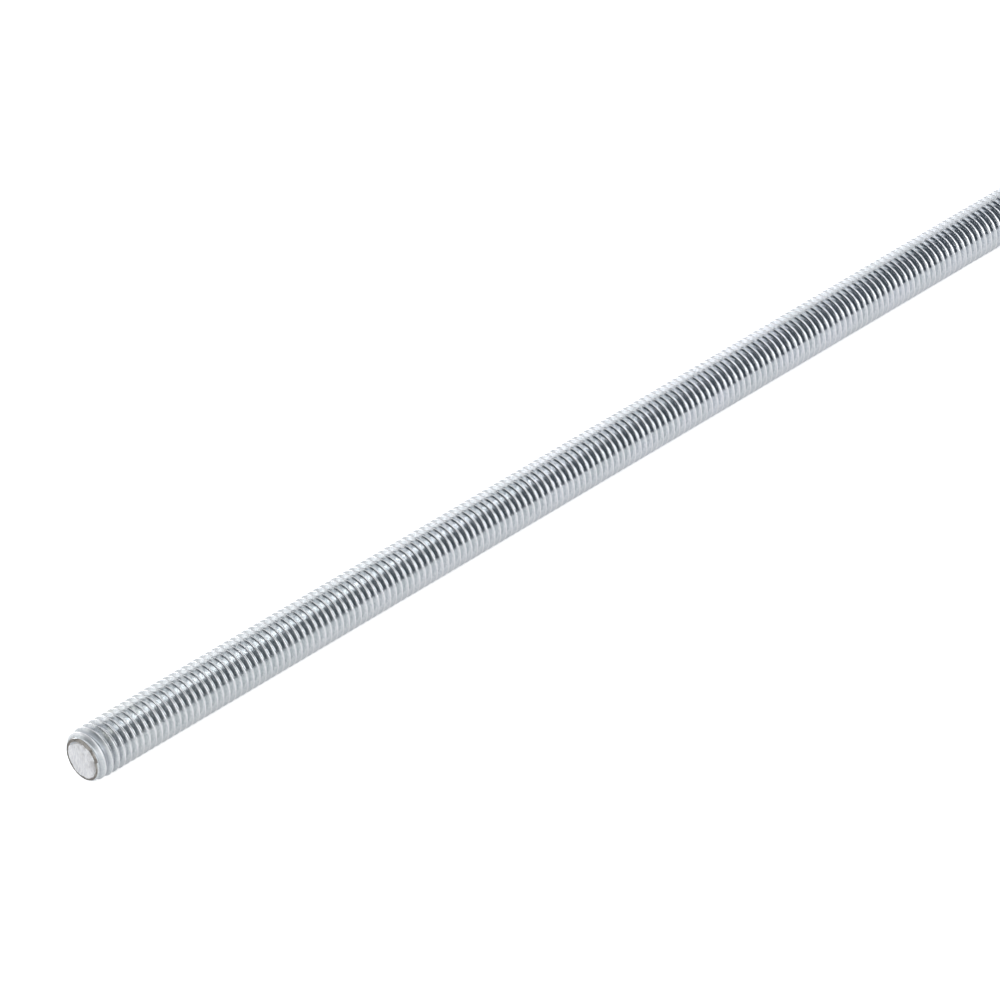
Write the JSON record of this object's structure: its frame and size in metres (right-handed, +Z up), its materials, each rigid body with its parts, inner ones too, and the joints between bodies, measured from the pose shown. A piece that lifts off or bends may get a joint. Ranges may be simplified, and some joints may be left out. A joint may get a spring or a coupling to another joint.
{
  "type": "threaded rod",
  "caption": "Zinc-plated steel rod threaded over its whole length, with chamfered ends, to be cut or used as a tie, stud or hanger.",
  "frame": {"origin": "on the rod's axis at mid length, which is also the centre of its box", "axes": "+X along the rod's axis, away from the end that the picture shows; +Z up, with the rod lying level"},
  "size_m": [0.25, 0.01, 0.01],
  "materials": {
    "zinc_plated_steel": "bright zinc plating on a rolled thread, with a faint yellow tint near the end and bare brownish steel on the end rims"
  },
  "bodies": {
    "root": {"threaded_rod": "zinc_plated_steel"}
  },
  "joints": []
}
